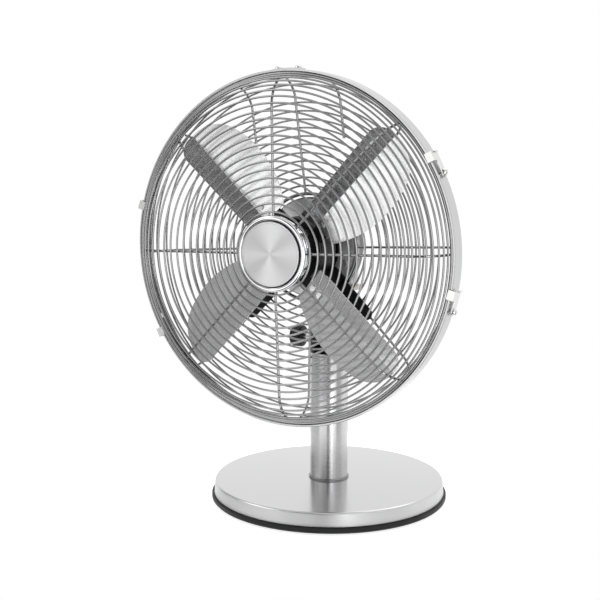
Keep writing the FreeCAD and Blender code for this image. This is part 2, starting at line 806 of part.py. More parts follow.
def make_front_spokes():
    inset = ring_wire + spoke_wire + weld_gap
    bend_end = math.radians(front_bend_angle)
    inner = in_fan_plane(26, rim_front - front_rise_centre + inset)
    first = in_fan_plane(*front_bend_point(0, inset))
    middle = in_fan_plane(*front_bend_point(bend_end / 2, inset))
    last = in_fan_plane(*front_bend_point(bend_end, inset))
    spoke = swept_wire([Part.LineSegment(inner, first), Part.Arc(first, middle, last)], spoke_wire)
    return Part.makeCompound([turned(spoke, 45 * index + front_guard_turn) for index in range(spoke_count)])


def rear_face_y(radius):
    share = (radius - rear_inner_ring) / (rear_corner_ring - rear_inner_ring)
    return rear_inner_y + share * (rear_corner_y - rear_inner_y)


def make_rear_rings():
    rings = [ring(rear_inner_ring, rear_inner_wire, rear_inner_y)]
    for index in range(rear_flat_rings):
        radius = rear_first_ring + rear_ring_pitch * index
        rings.append(ring(radius, ring_wire, rear_face_y(radius)))
    bend = Part.Arc(in_fan_plane(rear_corner_ring, rear_corner_y), in_fan_plane(*rear_bend_middle),
                    in_fan_plane(rear_edge_circle, rear_edge_y)).toShape()
    for share in rear_bend_shares:
        place = bend.valueAt(bend.FirstParameter + share * (bend.LastParameter - bend.FirstParameter))
        rings.append(ring(place.x, ring_wire, place.y))
    rings.append(ring(rear_edge_circle, edge_wire, rear_edge_y))
    return Part.makeCompound(rings)


def long_spoke_y(radius):
    """Middle line of the long rear spokes, which lie in front of the rings."""
    inner_y = rear_inner_y - rear_inner_wire - spoke_wire - weld_gap
    outer_y = rear_corner_y - ring_wire - spoke_wire - weld_gap
    share = (radius - rear_inner_ring) / (rear_corner_ring - rear_inner_ring)
    return inner_y + share * (outer_y - inner_y)


def rear_wire(start, start_y, offset, lift):
    """Wire in front of the rear rings, parallel to a spoke and offset to its side."""
    inset = ring_wire + spoke_wire + weld_gap + lift
    bend_radius = rear_bend_middle[0] - 0.75 * inset
    end_radius = rear_edge_circle - edge_wire - spoke_wire - weld_gap - lift

    def beside(radius, y):
        return Vector(math.sqrt(radius ** 2 - offset ** 2), y, axis_height + offset)

    corner = beside(rear_corner_ring, rear_corner_y - inset)
    middle = beside(bend_radius, rear_bend_middle[1] - 0.75 * inset)
    end = beside(end_radius, rear_edge_y - 0.5)
    line = Part.LineSegment(beside(start, start_y - lift), corner)
    return swept_wire([line, Part.Arc(corner, middle, end)], spoke_wire)


def make_rear_spokes():
    """Eight spokes from the inner ring to the edge, and a short wire on each side of the top one."""
    start = rear_inner_ring - 1.5
    spoke = rear_wire(start, long_spoke_y(start), 0, 0)
    spokes = [turned(spoke, rear_guard_turn + 45 * index) for index in range(spoke_count)]
    inset = ring_wire + spoke_wire + weld_gap
    for offset in (-side_wire_offset, side_wire_offset):
        wire = rear_wire(side_wire_start, rear_face_y(side_wire_start) - inset, offset, side_wire_lift)
        spokes.append(turned(wire, rear_guard_turn + 45 * top_spoke))
    return Part.makeCompound(spokes)


def arm_angle(index):
    return 45 + rear_guard_turn + 90 * index


def make_guard_arms():
    """Black bracket on the motor's front bell: a plate with four arms along the rear diagonal spokes."""
    half = strap_arm_width / 2
    sheet = strap_arm_sheet
    seat = bell_front - 0.1
    back = [(strap_plate_radius - 4, seat), (50.0, seat)]
    back += [(radius, long_spoke_y(radius) - spoke_wire - strap_arm_gap) for radius in (52.8, strap_arm_end)]
    points = [Vector(radius, y, axis_height - half) for radius, y in back]
    points += [Vector(radius, y - sheet, axis_height - half) for radius, y in reversed(back)]
    strip = Part.Face(Part.makePolygon(points + [points[0]])).extrude(Vector(0, 0, strap_arm_width))
    round_end = fused([box(20, strap_arm_end - half, -80, -20, axis_height - half, axis_height + half),
                       rod_y(half, -80, -20, strap_arm_end - half)])
    arm = strip.common(round_end).cut(rod_y(rivet_hole_radius, -80, -20, arm_screw_circle))
    plate = tube_y(strap_plate_radius, strap_plate_bore, seat - sheet, seat)
    return fused([plate] + [turned(arm, arm_angle(index)) for index in range(4)])


def make_arm_screws():
    screws = []
    for index in range(4):
        head = rod_y(3.3, bell_front - 3.4, bell_front - 1.75, arm_screw_circle)
        shank = rod_y(1.58, bell_front - 2.2, bell_front + 2.2, arm_screw_circle)
        recess = box(arm_screw_circle - 0.5, arm_screw_circle + 0.5, bell_front - 4, bell_front - 2.7,
                     axis_height - 4, axis_height + 4)
        screws.append(turned(fused([head, shank]).cut(recess), arm_angle(index)))
    return Part.makeCompound(screws)


def make_rim():
    """Steel band with both edges turned in and two ears for its clamp screw."""
    inner = rim_radius - rim_wall
    lip = rim_radius - rim_wall - rim_lip
    band = lathe_y([(rim_radius - 0.5, rim_front), (rim_radius, rim_front + 0.5),
                    (rim_radius, rim_rear - 0.5), (rim_radius - 0.5, rim_rear), (lip, rim_rear),
                    (lip, rim_rear - rim_wall),
                    (inner, rim_rear - rim_wall), (inner, rim_front + rim_wall),
                    (lip, rim_front + rim_wall), (lip, rim_front)])
    ears = [turned(box(inner - 5.5, inner + 0.3, -91, -83, axis_height + z0, axis_height + z0 + 1.0),
                   lock_angle) for z0 in (-1.1, 0.1)]
    slit = turned(box(160, 180, -100, -70, axis_height - 0.1, axis_height + 0.1), lock_angle)
    band = fused([band] + ears).cut(slit)
    screw_hole = Part.makeCylinder(1.65, 20, Vector(inner - 3, -87, axis_height - 10), Z_AXIS)
    band = band.cut(turned(screw_hole, lock_angle))
    for angle in rim_rivet_angles():
        band = band.cut(rim_rivet_hole(angle))
    return band


def rim_rivet_hole(angle):
    return turned(rod_x(rim_rivet_radius + running_gap, 165, 185, rim_middle, axis_height), angle)


def rim_rivet_angles():
    half_span = math.degrees(10.9 / rim_radius)
    return clip_angles + [strap_angle - half_span, strap_angle + half_span]


def make_joint_strap():
    """Short curved plate riveted over the band's joint at the top."""
    strap = tube_y(rim_radius + 1.3, rim_radius + 0.05, -91.5, -82)
    reach = turned(box(160, 190, -100, -70, axis_height - 16, axis_height + 16), strap_angle)
    strap = strap.common(reach)
    half_span = math.degrees(10.9 / rim_radius)
    for angle in (strap_angle - half_span, strap_angle + half_span):
        strap = strap.cut(rim_rivet_hole(angle))
    return strap


def make_rim_rivets():
    rivets = []
    for angle in rim_rivet_angles():
        on_clip = angle in clip_angles
        seat = 178.0 if on_clip else rim_radius + 1.4
        shank = rod_x(rim_rivet_radius, rim_radius - rim_wall - 0.6, seat + 0.6, rim_middle, axis_height)
        head = Part.makeSphere(dome_radius, Vector(seat - 0.5, rim_middle, axis_height))
        head = head.common(box(seat, seat + 5, -95, -80, axis_height - 5, axis_height + 5))
        tail = rod_x(2.4, rim_radius - rim_wall - 1.2, rim_radius - rim_wall - 0.05, rim_middle, axis_height)
        rivets.append(turned(fused([shank, head, tail]), angle))
    return Part.makeCompound(rivets)


def make_lock_screw():
    inner = rim_radius - rim_wall - 3
    screw = Part.makeCylinder(1.6, 9.5, Vector(inner, -87, axis_height - 4.5), Z_AXIS)
    head = Part.makeCylinder(2.7, 2.2, Vector(inner, -87, axis_height - 3.4), Z_AXIS)
    nut = box(inner - 2.3, inner + 2.3, -89.3, -84.7, axis_height + 1.15, axis_height + 3.6)
    nut = nut.cut(Part.makeCylinder(1.62, 9, Vector(inner, -87, axis_height), Z_AXIS))
    return Part.makeCompound([turned(fused([screw, head]), lock_angle), turned(nut, lock_angle)])


def make_clip(angle):
    """Latch on the band: a plate on its rivet with a hook over the front guard's edge wire."""
    low = 176.2
    high = 177.5
    top = axis_height + clip_length
    hook_start = axis_height + clip_hook_start
    hook_front = rim_front - 1.7
    plate = box(low, high, -91.5, -82, axis_height, top)
    eye = rod_x(4.75, low, high, rim_middle, axis_height)
    tab = box(low, high, hook_front, -90, hook_start, top)
    hook = box(170.6, high, hook_front, rim_front - 0.5, hook_start, top)
    tip = box(low, high + 1.6, -90.5, -83, top - 1.2, top)
    clip = fused([plate, eye, tab, hook, tip])
    return turned(clip, angle).cut(rim_rivet_hole(angle))


# ---- Badge ------------------------------------------------------------------------------------

def make_badge_plate():
    """Disc behind the spokes that they are welded to."""
    return rod_y(35.0, -116.4, -114.9)


def make_badge_backing():
    return rod_y(badge_radius + 0.9, badge_face + 5.2, -121.0)


def make_badge_bezel():
    """Polished ring round the badge, with a rounded front."""
    inner = badge_radius + 1.0
    bezel = tube_y(bezel_radius, inner, badge_face + 1.9, -121.0)
    front = [edge for edge in bezel.Edges if edge.isClosed() and edge.BoundBox.YMax < badge_face + 2.5]
    return bezel.makeFillet(1.7, front)


def make_badge_disc():
    disc = rod_y(badge_radius, badge_face, badge_face + 5.1)
    return disc.makeFillet(0.8, [edge for edge in disc.Edges if edge.isClosed()
                                 and edge.BoundBox.YMax < badge_face + 1])


def main():
    os.makedirs("parts", exist_ok=True)
    save("anti_slip_mat", make_mat())
    save("base_underpan", make_underpan())
    save("base_weight", make_weight())
    save("base_cover", make_base_cover())
    save("base_screws", make_base_screws())
    save("column_collar", make_collar())
    save("column_foot_plug", make_foot_plug())
    save("column_tube", make_column())
    save("column_tie_rod", make_tie_rod())
    save("column_screws", make_column_screws())
    save("tilt_socket", make_tilt_socket())
    save("tilt_bolt", make_tilt_bolt())
    save("tilt_knob", make_tilt_knob())
    save("tilt_neck", make_tilt_neck())
    save("swivel_pin", make_swivel_pin())
    save("crank_link", make_crank_link())
    save("swivel_housing", make_swivel_housing())
    save("swivel_bush", make_swivel_bush())
    save("gearbox_case", make_gearbox_case())
    save("worm_wheel", make_worm_wheel())
    save("motor_front_bell", make_front_bell())
    save("motor_rear_bell", make_rear_bell())
    save("motor_stator", make_stator())
    save("motor_windings", make_windings())
    save("fan_shaft", make_shaft())
    save("motor_rotor", make_rotor())
    save("shaft_bushes", make_bushes())
    save("motor_screws", make_motor_screws())
    save("motor_shell", make_shell())
    save("rear_cap", make_rear_cap())
    save("speed_switch", make_speed_switch())
    save("speed_knob", make_speed_knob())
    save("swing_knob", make_swing_knob())
    save("cord_gland", make_gland())
    for index in range(blade_count):
        save("fan_blade_" + str(index + 1), make_blade(index))
    save("blade_spider", make_spider())
    save("blade_rivets", make_blade_rivets())
    save("blade_hub", make_hub())
    save("hub_nut", make_hub_nut())
    save("front_guard_rings", make_front_rings())
    save("front_guard_spokes", make_front_spokes())
    save("rear_guard_rings", make_rear_rings())
    save("rear_guard_spokes", make_rear_spokes())
    save("guard_arms", make_guard_arms())
    save("guard_arm_screws", make_arm_screws())
    save("guard_rim_band", make_rim())
    save("rim_joint_strap", make_joint_strap())
    save("rim_rivets", make_rim_rivets())
    save("rim_lock_screw", make_lock_screw())
    for index, angle in enumerate(clip_angles):
        save("guard_clip_" + str(index + 1), make_clip(angle))
    save("badge_plate", make_badge_plate())
    save("badge_backing", make_badge_backing())
    save("badge_bezel", make_badge_bezel())
    save("badge_disc", make_badge_disc())


main()
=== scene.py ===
"""Desk fan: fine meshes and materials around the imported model, and the studio it stands in."""
import json
import math

import bmesh
import bpy
import numpy as np
from mathutils import Matrix, Vector


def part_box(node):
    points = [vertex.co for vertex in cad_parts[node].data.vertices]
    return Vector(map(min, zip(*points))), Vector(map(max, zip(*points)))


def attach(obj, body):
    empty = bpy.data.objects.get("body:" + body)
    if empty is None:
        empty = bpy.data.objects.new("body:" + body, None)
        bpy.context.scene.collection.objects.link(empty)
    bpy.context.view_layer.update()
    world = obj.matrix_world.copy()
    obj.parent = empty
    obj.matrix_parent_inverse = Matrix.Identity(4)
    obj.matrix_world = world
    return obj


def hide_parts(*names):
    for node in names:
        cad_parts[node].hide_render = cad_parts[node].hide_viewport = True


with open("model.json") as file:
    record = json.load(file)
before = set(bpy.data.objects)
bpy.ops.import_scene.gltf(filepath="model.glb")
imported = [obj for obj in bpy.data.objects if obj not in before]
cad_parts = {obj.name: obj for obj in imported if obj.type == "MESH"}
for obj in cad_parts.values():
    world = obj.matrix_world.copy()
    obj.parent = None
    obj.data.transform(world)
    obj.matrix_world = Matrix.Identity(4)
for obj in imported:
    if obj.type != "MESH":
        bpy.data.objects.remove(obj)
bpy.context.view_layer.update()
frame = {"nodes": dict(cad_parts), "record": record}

MM = 0.001

# Camera
CAMERA_PLACE = (0.5126, -1.0296, 0.3773)
CAMERA_TILT_DOWN = 8.753
CAMERA_YAW = 28.095
CAMERA_LENS = 65.51
CAMERA_SHIFT = (0.0021, 0.0232)
FLOOR_RADIUS = 0.27
FLOOR_DROP = -0.0002

AXIS_HEIGHT = 275 * MM
FIRST_BLADE_ANGLE = 46.0

nodes = frame["nodes"]


# ---- Shader helper ------------------------------------------------------------------------------

class Shader:
    """A Principled material, with short calls for the nodes that shape it."""

    def __init__(self, name, color, metallic=0.0, roughness=0.5, **sockets):
        self.material = bpy.data.materials.new(name)
        self.material.use_nodes = True
        self.tree = self.material.node_tree
        self.shader = self.tree.nodes["Principled BSDF"]
        self.set("Base Color", (*color, 1.0))
        self.set("Metallic", metallic)
        self.set("Roughness", roughness)
        for socket, value in sockets.items():
            self.set(socket.replace("_", " "), value)
        self.coordinates = self.node("ShaderNodeTexCoord").outputs["Object"]

    def set(self, socket, value):
        self.shader.inputs[socket].default_value = value

    def node(self, kind, **values):
        made = self.tree.nodes.new(kind)
        for name, value in values.items():
            setattr(made, name, value)
        return made

    def link(self, start, end):
        self.tree.links.new(start, end)

    def scaled(self, scale, coordinates=None):
        """Object coordinates in millimetres, times a scale on each axis."""
        mapping = self.node("ShaderNodeMapping")
        mapping.inputs["Scale"].default_value = [1000.0 * value for value in scale]
        self.link(coordinates or self.coordinates, mapping.inputs["Vector"])
        return mapping.outputs["Vector"]

    def noise(self, scale, detail=3.0, coordinates=None):
        noise = self.node("ShaderNodeTexNoise")
        noise.inputs["Scale"].default_value = 1.0
        noise.inputs["Detail"].default_value = detail
        self.link(self.scaled(scale, coordinates), noise.inputs["Vector"])
        return noise.outputs["Fac"]

    def remap(self, value, low, high, start=0.3, end=0.7):
        remap = self.node("ShaderNodeMapRange")
        remap.inputs["From Min"].default_value = start
        remap.inputs["From Max"].default_value = end
        remap.inputs["To Min"].default_value = low
        remap.inputs["To Max"].default_value = high
        self.link(value, remap.inputs["Value"])
        return remap.outputs["Result"]

    def vary_roughness(self, value, low, high):
        self.link(self.remap(value, low, high), self.shader.inputs["Roughness"])

    def vary_color(self, value, dark, light):
        mix = self.node("ShaderNodeMix", data_type="RGBA")
        mix.inputs["A"].default_value = (*dark, 1.0)
        mix.inputs["B"].default_value = (*light, 1.0)
        self.link(self.remap(value, 0.0, 1.0), mix.inputs["Factor"])
        self.link(mix.outputs["Result"], self.shader.inputs["Base Color"])

    def bump(self, value, height_mm, strength=1.0):
        bump = self.node("ShaderNodeBump")
        bump.inputs["Strength"].default_value = strength
        bump.inputs["Distance"].default_value = height_mm * MM
        self.link(value, bump.inputs["Height"])
        self.link(bump.outputs["Normal"], self.shader.inputs["Normal"])

    def radial_tangent(self, axis):
        tangent = self.node("ShaderNodeTangent", direction_type="RADIAL", axis=axis)
        self.link(tangent.outputs["Tangent"], self.shader.inputs["Tangent"])

    def around(self, axis, centre_height):
        """Coordinates (radius, angle, height) about an axis through a point on the Z axis."""
        separate = self.node("ShaderNodeSeparateXYZ")
        self.link(self.coordinates, separate.inputs["Vector"])
        x, y, z = (separate.outputs[letter] for letter in "XYZ")
        lifted = self.math("SUBTRACT", z, centre_height)
        across, along = (lifted, y) if axis == "Y" else (y, z)
        radius = self.math("SQRT", self.math("ADD", self.math("MULTIPLY", x, x),
                                             self.math("MULTIPLY", across, across)))
        angle = self.math("ARCTAN2", across, x)
        combine = self.node("ShaderNodeCombineXYZ")
        self.link(radius, combine.inputs["X"])
        self.link(angle, combine.inputs["Y"])
        self.link(along, combine.inputs["Z"])
        return combine.outputs["Vector"]

    def math(self, operation, first, second=None):
        node = self.node("ShaderNodeMath", operation=operation)
        for index, value in enumerate((first, second)):
            if value is None:
                continue
            if isinstance(value, (int, float)):
                node.inputs[index].default_value = value
            else:
                self.link(value, node.inputs[index])
        return node.outputs["Value"]


# ---- Materials ---------------------------------------------------------------------------------

def column_steel():
    """Stainless tube brushed round its girth, so that lights smear into upright streaks."""
    steel = Shader("column_brushed_steel", (0.62, 0.62, 0.625), 1.0, 0.3,
                   Anisotropic=0.75, Anisotropic_Rotation=0.25)
    steel.radial_tangent("Z")
    grain = steel.noise((0.05, 0.05, 6.0), 4.0)
    steel.vary_roughness(grain, 0.24, 0.36)
    steel.bump(grain, 0.002)
    return steel.material


def cover_steel():
    """Stainless base cover with a straight hairline grain."""
    steel = Shader("base_brushed_steel", (0.62, 0.62, 0.625), 1.0, 0.16, Anisotropic=0.3)
    grain = steel.noise((0.06, 7.0, 7.0), 4.0)
    steel.vary_roughness(grain, 0.13, 0.2)
    steel.bump(grain, 0.003)
    return steel.material


def cover_side_steel():
    """Edge of the base cover, brushed along its girth."""
    steel = Shader("base_edge_steel", (0.64, 0.64, 0.645), 1.0, 0.45,
                   Anisotropic=0.9, Anisotropic_Rotation=0.25)
    steel.radial_tangent("Z")
    grain = steel.noise((0.05, 0.05, 6.0), 4.0)
    steel.vary_roughness(grain, 0.4, 0.52)
    steel.bump(grain, 0.004)
    return steel.material


def chrome_wire():
    # Base colour held darker than the bezel's chrome: painted shade that stands in for the wires' dark
    # reflections.
    chrome = Shader("chrome_wire", (0.35, 0.35, 0.355), 1.0, 0.08)
    stains = chrome.noise((0.09, 0.09, 0.09), 3.0)
    chrome.vary_roughness(stains, 0.04, 0.11)
    chrome.bump(chrome.noise((1.2, 1.2, 1.2), 2.0), 0.006)
    return chrome.material


def polished_chrome():
    chrome = Shader("polished_chrome", (0.8, 0.8, 0.81), 1.0, 0.06)
    chrome.vary_roughness(chrome.noise((0.15, 0.15, 0.15), 3.0), 0.03, 0.1)
    return chrome.material


def plated_steel():
    """Bright zinc plate on screws and rivets, faintly blotched."""
    plate = Shader("plated_steel", (0.7, 0.7, 0.69), 1.0, 0.25)
    blotch = plate.noise((0.8, 0.8, 0.8), 3.0)
    plate.vary_roughness(blotch, 0.16, 0.34)
    plate.vary_color(blotch, (0.66, 0.66, 0.65), (0.78, 0.78, 0.78))
    return plate.material


def rim_steel():
    steel = Shader("rim_steel", (0.55, 0.55, 0.555), 1.0, 0.25, Anisotropic=0.6)
    steel.radial_tangent("Y")
    around = steel.around("Y", AXIS_HEIGHT)
    grain = steel.noise((0.5, 0.004, 5.0), 3.0, around)
    steel.vary_roughness(grain, 0.18, 0.3)
    steel.bump(grain, 0.0015)
    return steel.material


def blade_aluminium(name, angle):
    """Sheet aluminium brushed along one blade."""
    sheet = Shader(name, (0.7, 0.7, 0.71), 1.0, 0.22, Anisotropic=0.3)
    turn = sheet.node("ShaderNodeMapping", vector_type="TEXTURE")
    turn.inputs["Location"].default_value = (0, 0, AXIS_HEIGHT)
    turn.inputs["Rotation"].default_value = (0, -math.radians(angle), 0)
    sheet.link(sheet.coordinates, turn.inputs["Vector"])
    grain = sheet.noise((0.05, 3.0, 3.0), 4.0, turn.outputs["Vector"])
    mottle = sheet.noise((0.05, 0.05, 0.05), 2.0)
    sheet.vary_roughness(grain, 0.14, 0.22)
    sheet.vary_color(mottle, (0.7, 0.7, 0.705), (0.8, 0.8, 0.805))
    sheet.bump(grain, 0.003)
    return sheet.material


def badge_metal():
    """Turned aluminium, with grooves in circles about the fan's axis."""
    metal = Shader("turned_badge", (0.72, 0.72, 0.725), 1.0, 0.36, Anisotropic=0.92)
    metal.radial_tangent("Y")
    around = metal.around("Y", AXIS_HEIGHT)
    grooves = metal.noise((7.0, 0.0, 0.0), 3.0, around)
    metal.vary_roughness(grooves, 0.32, 0.42)
    metal.bump(grooves, 0.003)
    return metal.material


def black_paint():
    paint = Shader("black_paint", (0.006, 0.006, 0.0065), 0.0, 0.35, Specular_IOR_Level=0.3)
    peel = paint.noise((0.9, 0.9, 0.9), 2.0)
    paint.vary_roughness(paint.noise((0.12, 0.12, 0.12), 2.0), 0.28, 0.42)
    paint.bump(peel, 0.012)
    return paint.material


def black_plastic():
    plastic = Shader("black_plastic", (0.006, 0.006, 0.0065), 0.0, 0.4, Specular_IOR_Level=0.3)
    plastic.vary_roughness(plastic.noise((0.2, 0.2, 0.2), 2.0), 0.34, 0.46)
    plastic.bump(plastic.noise((3.5, 3.5, 3.5), 2.0), 0.01)
    return plastic.material


def pan_plastic():
    """Black moulding with a fine spark-eroded grain."""
    plastic = Shader("pan_plastic", (0.007, 0.007, 0.0075), 0.0, 0.5, Specular_IOR_Level=0.25)
    plastic.vary_roughness(plastic.noise((0.1, 0.1, 0.1), 2.0), 0.42, 0.56)
    plastic.bump(plastic.noise((4.0, 4.0, 4.0), 2.0), 0.02)
    return plastic.material


def mat_rubber():
    rubber = Shader("mat_rubber", (0.012, 0.012, 0.012), 0.0, 0.8, Specular_IOR_Level=0.2)
    rubber.vary_roughness(rubber.noise((0.5, 0.5, 0.5), 2.0), 0.7, 0.9)
    rubber.bump(rubber.noise((2.0, 2.0, 2.0), 3.0), 0.03)
    return rubber.material


def grey_lacquer():
    """Dark grey metallic paint of the motor's cover."""
    paint = Shader("grey_lacquer", (0.11, 0.11, 0.115), 0.6, 0.38, Coat_Weight=0.3, Coat_Roughness=0.15)
    flake = paint.noise((5.0, 5.0, 5.0), 1.0)
    paint.vary_color(flake, (0.09, 0.09, 0.093), (0.16, 0.16, 0.165))
    paint.bump(paint.noise((0.8, 0.8, 0.8), 2.0), 0.01)
    return paint.material


def cast_alloy():
    """Die-cast alloy, bead blasted."""
    alloy = Shader("cast_alloy", (0.6, 0.6, 0.6), 1.0, 0.5)
    alloy.vary_roughness(alloy.noise((0.3, 0.3, 0.3), 3.0), 0.42, 0.6)
    alloy.bump(alloy.noise((2.2, 2.2, 2.2), 3.0), 0.03)
    return alloy.material


def painted_light_casting():
    """Front of the motor: the same casting with its colour raised, painted light that brightens a face the
    hub and blades shade.
    """
    alloy = Shader("painted_light_casting", (0.86, 0.86, 0.86), 1.0, 0.35)
    alloy.vary_roughness(alloy.noise((0.3, 0.3, 0.3), 3.0), 0.3, 0.44)
    alloy.bump(alloy.noise((2.2, 2.2, 2.2), 3.0), 0.01)
    return alloy.material


def dark_steel():
    """Steel of the ring round the column's foot, a darker copy of the column's steel: painted shade for the
    dark line where the column meets the base.
    """
    steel = Shader("collar_steel_painted_shade", (0.3, 0.3, 0.305), 1.0, 0.35)
    steel.vary_roughness(steel.noise((0.4, 0.4, 0.4), 3.0), 0.28, 0.42)
    steel.bump(steel.noise((2.0, 2.0, 2.0), 2.0), 0.005)
    return steel.material


def laminated_steel():
    steel = Shader("laminated_steel", (0.3, 0.3, 0.31), 1.0, 0.5)
    layers = steel.noise((0.05, 2.0, 0.05), 1.0)
    steel.bump(layers, 0.1)
    steel.vary_roughness(layers, 0.4, 0.6)
    return steel.material


def copper_wire():
    copper = Shader("copper_wire", (0.6, 0.22, 0.08), 1.0, 0.35, Coat_Weight=0.6, Coat_Roughness=0.2)
    turns = copper.noise((0.4, 3.0, 0.4), 1.0)
    copper.bump(turns, 0.15)
    copper.vary_color(turns, (0.45, 0.15, 0.05), (0.7, 0.28, 0.1))
    return copper.material


def bearing_bronze():
    bronze = Shader("bearing_bronze", (0.6, 0.38, 0.17), 1.0, 0.4)
    bronze.bump(bronze.noise((4.0, 4.0, 4.0), 3.0), 0.02)
    bronze.vary_roughness(bronze.noise((0.5, 0.5, 0.5), 2.0), 0.32, 0.5)
    return bronze.material


def ground_steel():
    steel = Shader("ground_steel", (0.66, 0.66, 0.66), 1.0, 0.22)
    steel.vary_roughness(steel.noise((0.1, 6.0, 0.1), 3.0), 0.15, 0.3)
    return steel.material


def cast_iron():
    iron = Shader("cast_iron", (0.09, 0.09, 0.09), 0.7, 0.65)
    iron.bump(iron.noise((0.7, 0.7, 0.7), 5.0), 0.15)
    iron.vary_roughness(iron.noise((0.3, 0.3, 0.3), 3.0), 0.55, 0.75)
    return iron.material


def nylon():
    nylon = Shader("gear_nylon", (0.72, 0.7, 0.63), 0.0, 0.45,
                   Subsurface_Weight=0.1, Subsurface_Radius=(0.002,) * 3)
    nylon.vary_roughness(nylon.noise((0.3, 0.3, 0.3), 2.0), 0.38, 0.52)
    return nylon.material


def switch_plastic():
    plastic = Shader("switch_plastic", (0.4, 0.4, 0.38), 0.0, 0.5)
    plastic.bump(plastic.noise((3.0, 3.0, 3.0), 2.0), 0.01)
    return plastic.material


SLOT_MATERIALS = {
    "mat_rubber": mat_rubber(),
    "pan_black": pan_plastic(),
    "steel_brushed": column_steel(),
    "rim_steel": rim_steel(),
    "clip_steel": plated_steel(),
    "iron_weight": cast_iron(),
    "black_metal": black_paint(),
    "black_plastic": black_plastic(),
    "motor_alloy": cast_alloy(),
    "shell_grey": grey_lacquer(),
    "core_steel": laminated_steel(),
    "shaft_steel": ground_steel(),
    "copper_coils": copper_wire(),
    "bearing_bronze": bearing_bronze(),
    "gear_plastic": nylon(),
    "switch_plastic": switch_plastic(),
    "chrome_wire": chrome_wire(),
    "badge_metal": badge_metal(),
    "bezel_chrome": polished_chrome(),
}
SLOT_MATERIALS["plated_screws"] = SLOT_MATERIALS["clip_steel"]
SLOT_MATERIALS["blade_aluminium"] = SLOT_MATERIALS["motor_alloy"]
slot_of = {entry["node"]: entry["material_slot"] for entry in frame["record"]["subparts"]}
body_of = {node: body for body, members in frame["record"]["behaviour"]["bodies"].items() for node in members}


def paint(piece, material):
    piece.data.materials.clear()
    piece.data.materials.append(material)


# ---- Mesh helpers ------------------------------------------------------------------------------

def make_object(name, mesh, sharp_angle=35.0):
    mesh.polygons.foreach_set("use_smooth", [True] * len(mesh.polygons))
    mesh.set_sharp_from_angle(angle=math.radians(sharp_angle))
    piece = bpy.data.objects.new(name, mesh)
    bpy.context.scene.collection.objects.link(piece)
    return piece


def stands_for(piece, node, material=None):
    """The piece takes over from a CAD node: its body, its slot and its place in the object."""
    paint(piece, material or SLOT_MATERIALS[slot_of[node]])
    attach(piece, body_of[node])
    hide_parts(node)


def rounded(corners, segments=6):
    """Closed outline from (a, b, radius) corners, each corner rounded by an arc of its radius."""
    points = []
    count = len(corners)
    for index, (a, b, radius) in enumerate(corners):
        here = Vector((a, b))
        before = Vector(corners[index - 1][:2]) - here
        after = Vector(corners[(index + 1) % count][:2]) - here
        if radius == 0:
            points.append(here)
            continue
        half = before.angle(after) / 2
        reach = radius / math.tan(half)
        centre = here + (before.normalized() + after.normalized()).normalized() * (radius / math.sin(half))
        start = here + before.normalized() * reach - centre
        end = here + after.normalized() * reach - centre
        sweep = start.angle_signed(end)
        for step in range(segments + 1):
            turn = -sweep * step / segments
            points.append(centre + Matrix.Rotation(turn, 2) @ start)
    return points


def lathe(name, outline, axis, segments=256, closed=True):
    """Surface of revolution from (radius, height) points in millimetres, about the column or the fan."""
    mesh = bpy.data.meshes.new(name)
    shape = bmesh.new()
    rings = []
    for radius, height in outline:
        if radius < 1e-6:
            place = (0, height, AXIS_HEIGHT / MM) if axis == "Y" else (0, 0, height)
            rings.append([shape.verts.new(Vector(place) * MM)])
            continue
        ring = []
        for step in range(segments):
            angle = 2 * math.pi * step / segments
            across, up = radius * math.cos(angle), radius * math.sin(angle)
            place = (across, height, up + AXIS_HEIGHT / MM) if axis == "Y" else (across, up, height)
            ring.append(shape.verts.new(Vector(place) * MM))
        rings.append(ring)
    pairs = list(zip(rings, rings[1:] + rings[:1])) if closed else list(zip(rings, rings[1:]))
    for first, second in pairs:
        if len(first) == 1 and len(second) == 1:
            continue
        for step in range(segments):
            after = (step + 1) % segments
            corners = [first[step % len(first)], first[after % len(first)],
                       second[after % len(second)], second[step % len(second)]]
            unique = []
            for corner in corners:
                if corner not in unique:
                    unique.append(corner)
            shape.faces.new(unique)
    bmesh.ops.recalc_face_normals(shape, faces=shape.faces)
    shape.to_mesh(mesh)
    shape.free()
    return make_object(name, mesh)


def add_ring(shape, radius, wire, y, segments=220, sides=14):
    """Adds a wire ring about the fan's axis to a bmesh."""
    rings = []
    for step in range(segments):
        angle = 2 * math.pi * step / segments
        out = Vector((math.cos(angle), 0, math.sin(angle)))
        centre = out * radius + Vector((0, y, AXIS_HEIGHT))
        turns = [2 * math.pi * side / sides for side in range(sides)]
        offsets = [(out * math.cos(turn) + Vector((0, 1, 0)) * math.sin(turn)) * wire for turn in turns]
        rings.append([shape.verts.new(centre + offset) for offset in offsets])
    for index, first in enumerate(rings):
        second = rings[(index + 1) % segments]
        for side in range(sides):
            after = (side + 1) % sides
            shape.faces.new((first[side], first[after], second[after], second[side]))


def from_bmesh(name, shape, sharp_angle=35.0):
    bmesh.ops.recalc_face_normals(shape, faces=shape.faces)
    mesh = bpy.data.meshes.new(name)
    shape.to_mesh(mesh)
    shape.free()
    return make_object(name, mesh, sharp_angle)


def loose_parts(node):
    """The corner points of each separate solid in a CAD node, as arrays in metres."""
    mesh = nodes[node].data
    places = np.empty(len(mesh.vertices) * 3)
    mesh.vertices.foreach_get("co", places)
    places = places.reshape(-1, 3)
    keys = {}
    same = [keys.setdefault(tuple(np.round(place, 6)), index) for index, place in enumerate(places)]
    leader = list(range(len(places)))

    def find(index):
        while leader[index] != index:
            leader[index] = leader[leader[index]]
            index = leader[index]
        return index

    for index, twin in enumerate(same):
        leader[find(index)] = find(twin)
    for edge in mesh.edges:
        leader[find(edge.vertices[0])] = find(edge.vertices[1])
    groups = {}
    for index in range(len(places)):
        groups.setdefault(find(index), []).append(index)
    return [places[indices] for _, indices in sorted(groups.items())]


# ---- Pieces ------------------------------------------------------------------------------------

